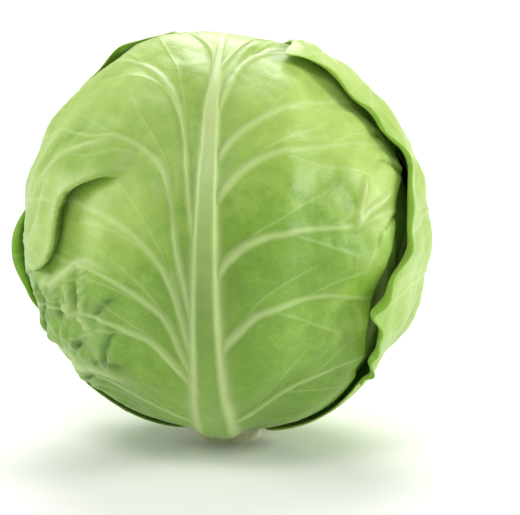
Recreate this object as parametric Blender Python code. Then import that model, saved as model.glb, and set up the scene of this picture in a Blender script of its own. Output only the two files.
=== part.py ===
# A whole green cabbage, standing on its cut stalk.
#
# The head is a dense heart wrapped in six leaves. Each leaf is drawn flat, in degrees
# across and along it, by the side veins that leave its midrib, and is then wrapped on
# what lies under it, so every leaf rides over the ribs and edges of the ones inside.
# World axes: +Z up, the front leaf faces -Y, the origin is the middle of the cut face.
# Lengths are in millimetres and angles in degrees until the last step.

import math

import bmesh
import bpy
import numpy as np

# Head and stalk
HEAD_CENTRE = 91.5
HEART_ACROSS = 81.0
HEART_UP = 79.0
HEART_DOWN = 77.0
SEAT_HEIGHT = 16.8
STALK_RADIUS = 15.0
STALK_TOP = 16.5
HEART_STEP = 1.2
# Where the head bulges or is flatter than a ball: towards which side, and by how much.
SHOULDERS = (((-0.72, 0.0, 0.69), 4.0), ((0.66, 0.0, 0.75), -1.5))

# Leaves
LEAF_MIDDLE = 95.0
DEGREE_LENGTH = 1.52
LEAF_GAP = 0.95
BLADE = 0.9
BLADE_EDGE = 0.65
VEIN_HEIGHT = 0.9
VEIN_HALF_WIDTH = 2.6
ROW_KNOTS = np.array([0.0, 0.14, 0.34, 0.66, 1.0])

# Wrapping
SAMPLE_COUNT = 6000
SPREAD = 7.5
BLUR = 3.2
SPARE = 0.5

# Side veins, from the stalk to the tip: where each leaves the midrib, then four points
# out to the leaf's edge, as (across, along) in degrees from the middle of the leaf.
PLAIN_ROWS = (
    ((0, -81), (15, -85), (34, -78), (50, -64), (60, -48)),
    ((0, -64), (8, -57), (22, -48), (46, -40), (74, -40)),
    ((0, -42), (6, -30), (18, -18), (44, -12), (82, -14)),
    ((0, -20), (6, -8), (18, 4), (44, 12), (82, 14)),
    ((0, 2), (5, 14), (15, 26), (40, 38), (72, 42)),
    ((0, 22), (5, 33), (14, 46), (34, 60), (56, 68)),
    ((0, 40), (4, 50), (10, 64), (23, 76), (36, 86)),
    ((0, 52), (0, 60), (0, 70), (0, 82), (0, 94)),
)
FRONT_LEFT = (
    ((0, -82.5), (15, -87), (34, -79), (52, -62), (66, -46)),
    ((0, -62), (8, -56), (20, -50), (46, -44), (84, -43)),
    ((0, -50), (6, -34), (18, -20), (46, -18), (100, -30)),
    ((0, -46), (5, -30), (13, -13), (42, -3), (109, -11)),
    ((0, -41), (5, -21), (12, 0), (42, 15), (110, 17)),
    ((0, -34), (6, -3), (13, 26), (38, 37), (104, 46)),
    ((0, -6), (4, 14), (9, 42), (36, 67), (88, 74)),
    ((1, 54), (2, 65), (10, 77), (26, 90), (52, 100)),
    ((1, 60), (-3, 70), (-6, 82), (-8, 94), (-10, 106)),
)
FRONT_RIGHT = (
    ((0, -82.5), (15, -87), (33, -79), (45, -64), (50, -50)),
    ((0, -62), (8, -56), (20, -46), (36, -38), (50, -34)),
    ((0, -34), (6, -21), (15, -13), (33, -11), (52, -13)),
    ((0, -10), (6, 1), (18, 8), (42, 10), (62, 15)),
    ((0, 12), (6, 21), (16, 29), (42, 36), (72, 41)),
    ((0, 24), (7, 34), (21, 45), (46, 56), (78, 62)),
    ((0, 36), (3, 47), (10, 63), (31, 80), (60, 90)),
    ((-1, 54), (4, 65), (13, 79), (26, 92), (44, 104)),
    ((-1, 60), (3, 70), (6, 82), (8, 94), (10, 106)),
)
OUTER_LEFT = (
    ((0, -82.5), (15, -87), (34, -79), (50, -64), (62, -50)),
    ((0, -64), (8, -57), (22, -48), (46, -38), (77, -36)),
    ((0, -42), (6, -30), (18, -20), (46, -14), (88, -16)),
    ((0, -20), (6, -8), (18, 1), (42, 5), (76, 5)),
    ((0, 2), (5, 13), (14, 21), (32, 26), (56, 27)),
    ((0, 18), (4, 28), (11, 38), (24, 44), (42, 44)),
    ((0, 32), (3, 43), (8, 53), (17, 60), (28, 61)),
    ((0, 43), (4, 54), (11, 64), (20, 71), (29, 75)),
    ((0, 50), (2, 54), (4, 58), (6, 62), (8, 66)),
)
OUTER_RIGHT = (
    ((0, -82.5), (15, -87), (34, -79), (50, -64), (60, -48)),
    ((0, -64), (8, -57), (22, -48), (44, -40), (68, -40)),
    ((0, -42), (6, -30), (18, -18), (42, -12), (72, -14)),
    ((0, -20), (6, -8), (18, 4), (38, 12), (66, 14)),
    ((0, 2), (5, 14), (15, 26), (32, 36), (56, 40)),
    ((0, 18), (5, 28), (12, 39), (24, 48), (38, 53)),
    ((0, 32), (3, 40), (7, 48), (12, 54), (18, 58)),
    ((0, 43), (1, 48), (2, 53), (3, 58), (4, 62)),
    ((0, 50), (-2, 54), (-4, 58), (-6, 62), (-8, 66)),
)
BACK_LEFT = (
    ((0, -82.5), (15, -87), (34, -79), (50, -64), (60, -48)),
    ((0, -64), (8, -57), (22, -48), (46, -40), (74, -40)),
    ((0, -42), (6, -30), (18, -18), (44, -12), (82, -14)),
    ((0, -20), (6, -8), (18, 4), (44, 12), (82, 14)),
    ((0, 2), (5, 13), (15, 25), (38, 35), (68, 38)),
    ((0, 20), (4, 30), (12, 42), (28, 52), (46, 56)),
    ((0, 34), (3, 43), (8, 52), (16, 60), (25, 64)),
    ((0, 44), (0, 49), (0, 54), (0, 59), (0, 64)),
)
BACK_RIGHT = (
    ((0, -82.5), (15, -87), (32, -79), (41, -67), (44, -55)),
    ((0, -64), (8, -57), (15, -51), (22, -45), (26, -40)),
    ((0, -42), (6, -30), (16, -19), (29, -13), (42, -10)),
    ((0, -20), (5, -10), (9, -3), (14, 3), (18, 7)),
    ((0, 2), (3, 9), (7, 15), (11, 19), (15, 21)),
    ((0, 20), (3, 28), (6, 34), (10, 38), (15, 40)),
    ((0, 34), (2, 41), (5, 48), (9, 53), (13, 56)),
    ((0, 44), (0, 49), (0, 54), (0, 59), (0, 64)),
)

# The six leaves, from the innermost out: name, turn about the head's axis, side veins
# left and right, rows of its mesh and columns in each half.
LEAVES = (
    ("leaf_inner_right", 56.0, PLAIN_ROWS, PLAIN_ROWS, 22, 10),
    ("leaf_inner_left", -70.0, PLAIN_ROWS, PLAIN_ROWS, 22, 10),
    ("leaf_inner_back", 174.0, PLAIN_ROWS, PLAIN_ROWS, 24, 11),
    ("leaf_front", -5.0, FRONT_LEFT, FRONT_RIGHT, 30, 15),
    ("leaf_back_left", -136.0, BACK_LEFT, BACK_RIGHT, 26, 12),
    ("leaf_outer_right", 126.0, OUTER_LEFT, OUTER_RIGHT, 30, 15),
)

# The fold down the left of the front leaf: at each side vein, how far out it runs and
# how strongly it rolls over towards the midrib.
FOLD_ALONG = (0.0, 0.13, 0.25, 0.31, 0.38, 0.45, 0.50, 0.57)
FOLD_OUT = (0.76, 0.76, 0.75, 0.76, 0.70, 0.65, 0.58, 0.48)
FOLD_RISE = (0.0, 2.0, 6.0, 7.0, 8.0, 7.0, 4.0, 0.0)

# Leaf edges that roll outwards: how many millimetres of the edge roll, from the stalk
# end of the leaf to its tip.
OUTER_ROLL = (3.0, 8.0, 16.0, 12.0, 8.0, 5.5, 4.0, 1.0, 0.0)
SIDE_ROLL = (0.0, 0.0, 5.0, 2.0, 0.0, 0.0, 0.0, 0.0)
ROLLED_EDGES = {("leaf_outer_right", -1): OUTER_ROLL, ("leaf_back_left", 1): SIDE_ROLL}

COLOURS = {
    "stalk": (0.62, 0.66, 0.42),
    "heart": (0.66, 0.76, 0.38),
    "leaf_inner_right": (0.40, 0.58, 0.16),
    "leaf_inner_left": (0.42, 0.60, 0.18),
    "leaf_inner_back": (0.44, 0.62, 0.20),
    "leaf_front": (0.45, 0.62, 0.20),
    "leaf_back_left": (0.38, 0.56, 0.16),
    "leaf_outer_right": (0.36, 0.54, 0.14),
}


def smoothstep(low, high, value):
    t = np.clip((value - low) / (high - low), 0.0, 1.0)
    return t * t * (3.0 - 2.0 * t)


def waves(seed, count, longest, shortest):
    """Seeded cosine waves across directions in space, as (axis, phase) pairs."""
    rng = np.random.default_rng(seed)
    axes = rng.normal(size=(count, 3))
    axes /= np.linalg.norm(axes, axis=1, keepdims=True)
    turns = rng.uniform(longest, shortest, size=(count, 1))
    return axes * turns, rng.uniform(0.0, 2.0 * math.pi, size=count)


def wave_sum(pair, directions):
    axes, phases = pair
    return np.cos(directions @ axes.T + phases).mean(axis=-1)


HEAD_WAVES = waves(7, 6, 3.0, 6.5)


def heart_radius(directions):
    """The dense heart's radius: a rounded head with soft swells and spiral leaf steps."""
    flat = directions[..., 0] ** 2 + directions[..., 1] ** 2
    up = directions[..., 2]
    height = np.where(up > 0.0, HEART_UP, HEART_DOWN)
    radius = 1.0 / np.sqrt(flat / HEART_ACROSS ** 2 + (up / height) ** 2)
    around = np.arctan2(directions[..., 0], -directions[..., 1]) / (2.0 * math.pi)
    spiral = np.mod(3.0 * around + 0.8 * up, 1.0)
    step = HEART_STEP * spiral * (1.0 - smoothstep(0.86, 1.0, spiral)) * flat
    for towards, height in SHOULDERS:
        step = step + height * smoothstep(0.65, 1.0, directions @ np.array(towards))
    return radius + 1.6 * wave_sum(HEAD_WAVES, directions) + step


def sphere_samples(count):
    turn = math.pi * (3.0 - math.sqrt(5.0))
    index = np.arange(count)
    height = 1.0 - (2.0 * index + 1.0) / count
    ring = np.sqrt(1.0 - height ** 2)
    return np.stack([ring * np.cos(turn * index), ring * np.sin(turn * index), height], axis=1)


SAMPLES = sphere_samples(SAMPLE_COUNT)


def widened(covered):
    """Each sample takes the largest radius found within SPREAD degrees of it."""
    out = np.empty_like(covered)
    limit = math.cos(math.radians(SPREAD))
    for start in range(0, len(SAMPLES), 1000):
        near = SAMPLES[start:start + 1000] @ SAMPLES.T > limit
        out[start:start + 1000] = np.where(near, covered, 0.0).max(axis=1)
    return out


def draped(wide, directions):
    """A smooth surface over the widened radii, read in any direction."""
    sharpness = 1.0 / math.radians(BLUR) ** 2
    flat = directions.reshape(-1, 3)
    out = np.empty(len(flat))
    for start in range(0, len(flat), 2000):
        weight = np.exp(sharpness * (flat[start:start + 2000] @ SAMPLES.T - 1.0))
        out[start:start + 2000] = (weight @ wide) / weight.sum(axis=1)
    return out.reshape(directions.shape[:-1])


def spline(knots, values, where):
    """A smooth curve through values at the knots that never overshoots them."""
    step = np.diff(knots)
    rise = np.diff(values, axis=0) / step.reshape((-1,) + (1,) * (values.ndim - 1))
    slope = np.empty_like(values)
    slope[0], slope[-1] = rise[0], rise[-1]
    same = rise[:-1] * rise[1:] > 0.0
    total = np.where(same, rise[:-1] + rise[1:], 1.0)
    slope[1:-1] = np.where(same, 2.0 * rise[:-1] * rise[1:] / total, 0.0)
    index = np.clip(np.searchsorted(knots, where, side="right") - 1, 0, len(knots) - 2)
    shape = index.shape + (1,) * (values.ndim - 1)
    width = step[index].reshape(shape)
    t = ((where - knots[index]) / step[index]).reshape(shape)
    return (values[index] * (1 + 2 * t) * (1 - t) ** 2 + slope[index] * width * t * (1 - t) ** 2
            + values[index + 1] * t * t * (3 - 2 * t) + slope[index + 1] * width * t * t * (t - 1))


def along_rows(rows, out):
    """Reads each row's own curve at its own fractions of the way out."""
    result = np.empty(out.shape + (2,))
    for index in range(len(rows)):
        result[index] = spline(ROW_KNOTS, rows[index], out[index])
    return result


class Side:
    """One half of a leaf blade, between its midrib and one edge."""

    def __init__(self, table, sign):
        self.rows = np.array(table, dtype=float)
        self.rows[:, :, 0] *= sign
        apart = np.linalg.norm(np.diff(self.rows, axis=0), axis=2).mean(axis=1)
        self.knots = np.concatenate([[0.0], np.cumsum(apart)]) / apart.sum()

    def foot(self, along):
        return spline(self.knots, self.rows[:, 0, 1:2], along)[:, 0]

    def fine_rows(self, along):
        return spline(self.knots, self.rows, along)


def shared_rows(left, right, count):
    """Row places on both halves that meet at the same points of the midrib."""
    fine = np.linspace(0.0, 1.0, 800)
    left_foot, right_foot = left.foot(fine), right.foot(fine)
    foot = np.linspace(left_foot[0], left_foot[-1], 1600)
    on_left = np.interp(foot, left_foot, fine)
    on_right = np.interp(foot, right_foot, fine)
    wanted = np.linspace(0.0, 1.0, count)
    chosen = np.interp(wanted, 0.5 * (on_left + on_right), foot)
    return np.interp(chosen, foot, on_left), np.interp(chosen, foot, on_right)


def roll_edge(travel, length, roll):
    """The last roll millimetres of a row curl outwards on an arc."""
    roll = np.maximum(roll, 0.01)[:, None]
    radius = np.maximum(2.6, roll / 1.75)
    past = np.clip(travel - (length[:, None] - roll), 0.0, None)
    angle = past / radius
    moved = np.minimum(travel, length[:, None] - roll) + radius * np.sin(angle)
    return moved, radius * (1.0 - np.cos(angle))


def fold_over(travel, centre, rise):
    """A roll that rises across the row at centre and leans back towards the midrib."""
    from_fold = travel - centre[:, None]
    width = 5.5
    lean = 0.1 * rise[:, None] * width
    moved = travel - lean * (from_fold / width) * np.exp(-0.5 * (from_fold / width) ** 2)
    up = smoothstep(-4.5, 4.5, from_fold)
    down = 1.0 - smoothstep(3.0, 26.0, from_fold)
    return moved, rise[:, None] * up * down


def half_blade(name, side, sign, along, out):
    """Places on one half: across and along in degrees, lift, and distance to the edge."""
    rows = side.fine_rows(along)
    fine = np.linspace(0.0, 1.0, 81)
    path = along_rows(rows, np.repeat(fine[None, :], len(rows), axis=0))
    steps = np.linalg.norm(np.diff(path, axis=1), axis=2) * DEGREE_LENGTH
    reach = np.concatenate([np.zeros((len(rows), 1)), np.cumsum(steps, axis=1)], axis=1)
    length = reach[:, -1]
    free = smoothstep(0.0, 0.1, along) * (1.0 - smoothstep(0.88, 1.0, along))
    edge_wave = 0.5 + 0.5 * np.cos(2.0 * math.pi * (5.0 * along + 0.3 * sign + 0.13 * len(name)))
    out = out * (1.0 - 0.035 * edge_wave * free)[:, None]
    travel = np.stack([np.interp(o, fine, r) for o, r in zip(out, reach)])
    lift = np.zeros_like(travel)
    moved = travel
    if name == "leaf_front" and sign < 0:
        centre_out = np.interp(along, FOLD_ALONG, FOLD_OUT)
        centre = np.array([np.interp(o, fine, r) for o, r in zip(centre_out, reach)])
        rise = np.interp(along, FOLD_ALONG, FOLD_RISE)
        moved, lift = fold_over(travel, centre, rise)
    if (name, sign) in ROLLED_EDGES:
        roll = np.interp(along, side.knots, ROLLED_EDGES[(name, sign)])
        roll = roll * (1.0 + 0.16 * np.cos(2.0 * math.pi * 11.0 * along))
        moved, lift = roll_edge(travel, length * out[:, -1], roll)
    moved_out = np.stack([np.interp(m, r, fine) for m, r in zip(moved, reach)])
    place = along_rows(rows, moved_out)
    flat_place = along_rows(rows, out)
    ruffle = 0.5 + 0.5 * np.sin(2.0 * math.pi * (8.0 * along + 0.21 * len(name)))
    lift = lift + 1.7 * (free * ruffle)[:, None] * smoothstep(0.72, 1.0, out)
    return place, flat_place, lift, out


def rib_thickness(across, along):
    """The midrib: wide and thick at the stalk, fine where it forks near the tip."""
    wide = np.interp(along, (-84.0, -60.0, -20.0, 30.0, 62.0, 90.0), (13.0, 10.0, 6.6, 4.2, 2.6, 1.6))
    high = np.interp(along, (-84.0, -60.0, -20.0, 30.0, 62.0, 90.0), (3.6, 3.8, 3.0, 2.0, 0.9, 0.3))
    distance = np.abs(across) * DEGREE_LENGTH
    return high / (1.0 + (distance / wide) ** 4)


def vein_thickness(side, along, flat_place, out):
    """Side veins stand out from the blade along the rows that the leaf is drawn by."""
    if len(along) < 3:
        return np.zeros(out.shape)
    per_row = np.gradient(flat_place, along, axis=0) * DEGREE_LENGTH
    per_out = np.gradient(flat_place, axis=1)
    length = np.linalg.norm(per_out, axis=2) + 1e-9
    cross = np.abs(per_row[..., 0] * per_out[..., 1] - per_row[..., 1] * per_out[..., 0]) / length
    total = np.zeros(out.shape)
    for knot in side.knots[1:-1]:
        distance = np.abs(along - knot)[:, None] * cross
        ridge = np.exp(-0.5 * (distance / VEIN_HALF_WIDTH) ** 2)
        total = np.maximum(total, ridge * VEIN_HEIGHT * (1.0 - smoothstep(0.45, 0.95, out)))
    return total * smoothstep(0.02, 0.1, out)


def leaf_axes(turn):
    """Unit directions across the leaf, out through its middle, and along it."""
    angle, middle = math.radians(turn), math.radians(LEAF_MIDDLE)
    ahead = np.array([math.sin(angle), -math.cos(angle), 0.0])
    across = np.array([math.cos(angle), math.sin(angle), 0.0])
    upward = np.array([0.0, 0.0, 1.0])
    outward = math.sin(middle) * ahead - math.cos(middle) * upward
    along = math.cos(middle) * ahead + math.sin(middle) * upward
    return across, outward, along


def wrapped(turn, place):
    """Turns flat places in degrees into directions from the middle of the head."""
    across, outward, along = leaf_axes(turn)
    radians = np.radians(place)
    angle = np.linalg.norm(radians, axis=-1)
    share = np.sinc(angle / math.pi)[..., None]
    return (np.cos(angle)[..., None] * outward + share * radians[..., :1] * across
            + share * radians[..., 1:] * along)


def leaf_grid(leaf, wide, rows, columns):
    """Directions, inner radii and thicknesses of a whole leaf, left edge to right edge."""
    name, turn, left_table, right_table = leaf[:4]
    left, right = Side(left_table, -1), Side(right_table, 1)
    left_along, right_along = shared_rows(left, right, rows)
    parts = []
    for side, sign, along in ((left, -1, left_along), (right, 1, right_along)):
        place, flat_place, lift, out = half_blade(name, side, sign, along, columns(sign, along))
        thick = BLADE_EDGE + (BLADE - BLADE_EDGE) * (1.0 - out ** 3)
        thick = thick + rib_thickness(flat_place[..., 0], flat_place[..., 1])
        thick = thick + vein_thickness(side, along, flat_place, out)
        parts.append((place, lift, thick))
    place = np.concatenate([parts[0][0][:, ::-1], parts[1][0][:, 1:]], axis=1)
    lift = np.concatenate([parts[0][1][:, ::-1], parts[1][1][:, 1:]], axis=1)
    thick = np.concatenate([parts[0][2][:, ::-1], parts[1][2][:, 1:]], axis=1)
    directions = wrapped(turn, place)
    radius = draped(wide, directions) + LEAF_GAP + lift
    return directions, radius, thick


def cover(leaf, wide, covered):
    """Adds a leaf's outer face to what the next leaves have to lie over."""
    even = np.linspace(0.0, 1.0, 56)
    directions, radius, thick = leaf_grid(leaf, wide, 100, lambda sign, along: np.tile(even, (len(along), 1)))
    flat = directions.reshape(-1, 3)
    outer = (radius + thick + SPARE).reshape(-1)
    for start in range(0, len(flat), 2000):
        nearest = np.argmax(flat[start:start + 2000] @ SAMPLES.T, axis=1)
        np.maximum.at(covered, nearest, outer[start:start + 2000])
    return covered


def column_places(count, crowding):
    """Fractions out from the midrib, closer together where crowding is above one."""
    fine = np.linspace(0.0, 1.0, 400)
    total = np.concatenate([[0.0], np.cumsum(crowding(0.5 * (fine[1:] + fine[:-1])))])
    return np.interp(np.linspace(0.0, total[-1], count + 1), total, fine)


def mesh_columns(name, count):
    """Columns of a leaf's mesh: closer by the rib, along the fold and in a rolled edge."""
    def by_rib(out):
        return 1.0 + 1.6 * np.exp(-(out / 0.08) ** 2)

    def columns(sign, along):
        folded = name == "leaf_front" and sign < 0
        rolled = (name, sign) in ROLLED_EDGES

        def crowding(out):
            by_fold = 2.6 * np.exp(-((out - 0.5) / 0.085) ** 2) if folded else 0.0
            by_edge = 1.5 * smoothstep(0.72, 0.86, out) if rolled else 0.0
            return by_rib(out) + by_fold + by_edge

        places = np.tile(column_places(count, crowding), (len(along), 1))
        if folded:
            centre = np.interp(along, FOLD_ALONG, FOLD_OUT)[:, None]
            inside = places / 0.5 * centre
            outside = centre + (places - 0.5) / 0.5 * (1.0 - centre)
            places = np.where(places < 0.5, inside, outside)
        shared = smoothstep(0.75, 1.0, along)[:, None]
        return places * (1.0 - shared) + column_places(count, by_rib) * shared

    return columns


def material_for(name):
    material = bpy.data.materials.new(name)
    material.use_nodes = True
    shader = material.node_tree.nodes["Principled BSDF"]
    shader.inputs["Base Color"].default_value = (*COLOURS[name], 1.0)
    shader.inputs["Roughness"].default_value = 0.5
    shader.inputs["Metallic"].default_value = 0.0
    return material


def finish(name, shape):
    """Makes a named object of a mesh in millimetres, given its material, in metres."""
    mesh = bpy.data.meshes.new(name)
    bmesh.ops.scale(shape, vec=(0.001, 0.001, 0.001), verts=shape.verts)
    shape.to_mesh(mesh)
    shape.free()
    mesh.materials.append(material_for(name))
    mesh.shade_smooth()
    body = bpy.data.objects.new(name, mesh)
    bpy.context.scene.collection.objects.link(body)
    return body


def make_stalk():
    """The stump: turned from rings, a little waisted, with a bevelled cut face."""
    shape = bmesh.new()
    heights = (0.0, 0.9, 5.0, 10.0, STALK_TOP)
    radii = (STALK_RADIUS - 1.0, STALK_RADIUS, STALK_RADIUS - 0.4, STALK_RADIUS - 0.7, STALK_RADIUS)
    rings = []
    for height, radius in zip(heights, radii):
        ring = bmesh.ops.create_circle(shape, cap_ends=False, segments=28, radius=radius)["verts"]
        for vertex in ring:
            vertex.co.z = height
        rings.append([edge for edge in shape.edges if all(v in ring for v in edge.verts)])
    for lower, upper in zip(rings, rings[1:]):
        bmesh.ops.bridge_loops(shape, edges=lower + upper)
    bmesh.ops.holes_fill(shape, edges=rings[0] + rings[-1], sides=0)
    bmesh.ops.recalc_face_normals(shape, faces=shape.faces)
    return finish("stalk", shape)


def make_heart():
    """The dense head inside the wrapper leaves, flat where it meets the stalk."""
    shape = bmesh.new()
    bmesh.ops.create_icosphere(shape, subdivisions=4, radius=1.0)
    directions = np.array([vertex.co for vertex in shape.verts])
    directions /= np.linalg.norm(directions, axis=1, keepdims=True)
    radius = heart_radius(directions)
    for vertex, direction, distance in zip(shape.verts, directions, radius):
        vertex.co = direction * distance
        vertex.co.z = max(vertex.co.z + HEAD_CENTRE, SEAT_HEIGHT)
    return finish("heart", shape)


def make_leaf(leaf, wide):
    """A leaf blade as one sheet, thickened outwards by its own rib and vein heights."""
    name, rows, count = leaf[0], leaf[4], leaf[5]
    directions, radius, thick = leaf_grid(leaf, wide, rows, mesh_columns(name, count))
    count_out = 2 * count
    shape = bmesh.new()
    layer = shape.verts.layers.deform.verify()
    bmesh.ops.create_grid(shape, x_segments=count_out, y_segments=rows - 1, size=1.0)
    order = sorted(shape.verts, key=lambda vertex: (round(vertex.co.y, 5), vertex.co.x))
    places = (directions * radius[..., None]).reshape(-1, 3)
    places[:, 2] += HEAD_CENTRE
    most = float(thick.max())
    for vertex, place, depth in zip(order, places, thick.reshape(-1)):
        vertex.co = place
        vertex[layer][0] = float(depth) / most
    bmesh.ops.remove_doubles(shape, verts=order[-count_out - 1:], dist=0.02)
    bmesh.ops.triangulate(shape, faces=shape.faces, quad_method="FIXED")
    body = finish(name, shape)
    body.vertex_groups.new(name="thickness")
    wall = body.modifiers.new("wall", "SOLIDIFY")
    wall.thickness = most * 0.001
    wall.offset = 1.0
    wall.vertex_group = "thickness"
    return body


def main():
    for old in list(bpy.data.objects):
        bpy.data.objects.remove(old, do_unlink=True)
    make_stalk()
    make_heart()
    covered = heart_radius(SAMPLES)
    for leaf in LEAVES:
        wide = widened(covered)
        make_leaf(leaf, wide)
        covered = cover(leaf, wide, covered)


if __name__ == "__main__":
    main()
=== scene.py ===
# %% [markdown]
# # A whole green cabbage
# A cabbage head is a dense heart of packed leaves with a few big wrapper leaves round
# it, standing on its cut stalk. The solids of the head are loaded first as a fixed
# frame. Each leaf of the frame is then replaced by a finely modelled one that follows
# the same drawing, so every leaf stays where the frame says, with real veins and folds.

# %% Load the frame
import math

import bpy
import numpy as np
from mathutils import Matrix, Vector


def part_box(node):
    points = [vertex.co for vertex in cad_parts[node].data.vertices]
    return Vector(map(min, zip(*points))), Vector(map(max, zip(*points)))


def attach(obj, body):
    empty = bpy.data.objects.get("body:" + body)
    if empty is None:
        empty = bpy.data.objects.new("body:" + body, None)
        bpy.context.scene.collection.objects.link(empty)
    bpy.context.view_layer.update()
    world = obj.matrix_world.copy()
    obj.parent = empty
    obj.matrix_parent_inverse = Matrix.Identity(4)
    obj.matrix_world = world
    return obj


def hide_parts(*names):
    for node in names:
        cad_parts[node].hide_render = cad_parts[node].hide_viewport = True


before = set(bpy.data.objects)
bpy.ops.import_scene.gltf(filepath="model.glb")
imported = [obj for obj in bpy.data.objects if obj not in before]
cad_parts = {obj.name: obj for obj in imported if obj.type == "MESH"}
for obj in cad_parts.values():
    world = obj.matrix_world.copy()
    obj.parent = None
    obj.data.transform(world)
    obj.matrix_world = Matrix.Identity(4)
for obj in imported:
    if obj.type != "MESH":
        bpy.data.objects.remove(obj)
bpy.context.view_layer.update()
print("frame nodes:", sorted(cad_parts))

# %% [markdown]
# The sizes of the head in millimetres and degrees. They are the ones that the frame was
# drawn with. A leaf is drawn flat, in degrees across and along it, and is wrapped on a
# ball round the middle of the head, where one degree is about one and a half
# millimetres of leaf.

# %% Sizes of the head and its leaves
MM = 0.001
HEAD_CENTRE = 91.5
HEART_ACROSS = 81.0
HEART_UP = 79.0
HEART_DOWN = 77.0
HEART_STEP = 1.2
# Where the head bulges or is flatter than a ball: towards which side, and by how much.
SHOULDERS = (((-0.72, 0.0, 0.69), 4.0), ((0.66, 0.0, 0.75), -1.5))
STALK_RADIUS = 15.0
LEAF_MIDDLE = 95.0
DEGREE_LENGTH = 1.52
LEAF_GAP = 0.95
BLADE = 0.9
BLADE_EDGE = 0.5
ROW_KNOTS = np.array([0.0, 0.14, 0.34, 0.66, 1.0])
SAMPLE_COUNT = 6000
SPREAD = 7.5
BLUR = 3.2
SPARE = 0.5
print("head across the heart:", 2.0 * HEART_ACROSS, "mm")

# %% [markdown]
# Each half of a leaf is drawn by its side veins, from the stalk to the tip. A row gives
# where the vein leaves the midrib and four points on its way to the leaf's edge, as
# (across, along) in degrees. The blade between two veins is a smooth blend of both. This
# is how a leaf is drawn by hand too: midrib first, then the veins, then the outline. The
# left half of the outer leaf reaches a little further here than in the frame.

# %% Side veins of the leaves
PLAIN_ROWS = (
    ((0, -81), (15, -85), (34, -78), (50, -64), (60, -48)),
    ((0, -64), (8, -57), (22, -48), (46, -40), (74, -40)),
    ((0, -42), (6, -30), (18, -18), (44, -12), (82, -14)),
    ((0, -20), (6, -8), (18, 4), (44, 12), (82, 14)),
    ((0, 2), (5, 14), (15, 26), (40, 38), (72, 42)),
    ((0, 22), (5, 33), (14, 46), (34, 60), (56, 68)),
    ((0, 40), (4, 50), (10, 64), (23, 76), (36, 86)),
    ((0, 52), (0, 60), (0, 70), (0, 82), (0, 94)),
)
FRONT_LEFT = (
    ((0, -82.5), (15, -87), (34, -79), (52, -62), (66, -46)),
    ((0, -62), (8, -56), (20, -50), (46, -44), (84, -43)),
    ((0, -50), (6, -34), (18, -20), (46, -18), (100, -30)),
    ((0, -46), (5, -30), (13, -13), (42, -3), (109, -11)),
    ((0, -41), (5, -21), (12, 0), (42, 15), (110, 17)),
    ((0, -34), (6, -3), (13, 26), (38, 37), (104, 46)),
    ((0, -6), (4, 14), (9, 42), (36, 67), (88, 74)),
    ((1, 54), (2, 65), (10, 77), (26, 90), (52, 100)),
    ((1, 60), (-3, 70), (-6, 82), (-8, 94), (-10, 106)),
)
FRONT_RIGHT = (
    ((0, -82.5), (15, -87), (33, -79), (45, -64), (50, -50)),
    ((0, -62), (8, -56), (20, -46), (36, -38), (50, -34)),
    ((0, -34), (6, -21), (15, -13), (33, -11), (52, -13)),
    ((0, -10), (6, 1), (18, 8), (42, 10), (62, 15)),
    ((0, 12), (6, 21), (16, 29), (42, 36), (72, 41)),
    ((0, 24), (7, 34), (21, 45), (46, 56), (78, 62)),
    ((0, 36), (3, 47), (10, 63), (31, 80), (60, 90)),
    ((-1, 54), (4, 65), (13, 79), (26, 92), (44, 104)),
    ((-1, 60), (3, 70), (6, 82), (8, 94), (10, 106)),
)
OUTER_LEFT = (
    ((0, -82.5), (15, -87), (34, -79), (50, -64), (62, -50)),
    ((0, -64), (8, -57), (22, -48), (46, -38), (77, -36)),
    ((0, -42), (6, -30), (18, -20), (46, -14), (88, -16)),
    ((0, -20), (6, -8), (18, 1), (42, 5), (76, 5)),
    ((0, 2), (5, 13), (14, 21), (33, 26), (60, 27)),
    ((0, 18), (4, 28), (11, 38), (27, 45), (50, 46)),
    ((0, 32), (3, 43), (9, 54), (22, 62), (39, 64)),
    ((0, 43), (4, 54), (11, 65), (22, 72), (34, 76)),
    ((0, 50), (2, 54), (4, 58), (6, 62), (8, 66)),
)
OUTER_RIGHT = (
    ((0, -82.5), (15, -87), (34, -79), (50, -64), (60, -48)),
    ((0, -64), (8, -57), (22, -48), (44, -40), (68, -40)),
    ((0, -42), (6, -30), (18, -18), (42, -12), (72, -14)),
    ((0, -20), (6, -8), (18, 4), (38, 12), (66, 14)),
    ((0, 2), (5, 14), (15, 26), (32, 36), (56, 40)),
    ((0, 18), (5, 28), (12, 39), (24, 48), (38, 53)),
    ((0, 32), (3, 40), (7, 48), (12, 54), (18, 58)),
    ((0, 43), (1, 48), (2, 53), (3, 58), (4, 62)),
    ((0, 50), (-2, 54), (-4, 58), (-6, 62), (-8, 66)),
)
BACK_LEFT = (
    ((0, -82.5), (15, -87), (34, -79), (50, -64), (60, -48)),
    ((0, -64), (8, -57), (22, -48), (46, -40), (74, -40)),
    ((0, -42), (6, -30), (18, -18), (44, -12), (82, -14)),
    ((0, -20), (6, -8), (18, 4), (44, 12), (82, 14)),
    ((0, 2), (5, 13), (15, 25), (38, 35), (68, 38)),
    ((0, 20), (4, 30), (12, 42), (28, 52), (46, 56)),
    ((0, 34), (3, 43), (8, 52), (16, 60), (25, 64)),
    ((0, 44), (0, 49), (0, 54), (0, 59), (0, 64)),
)
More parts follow.
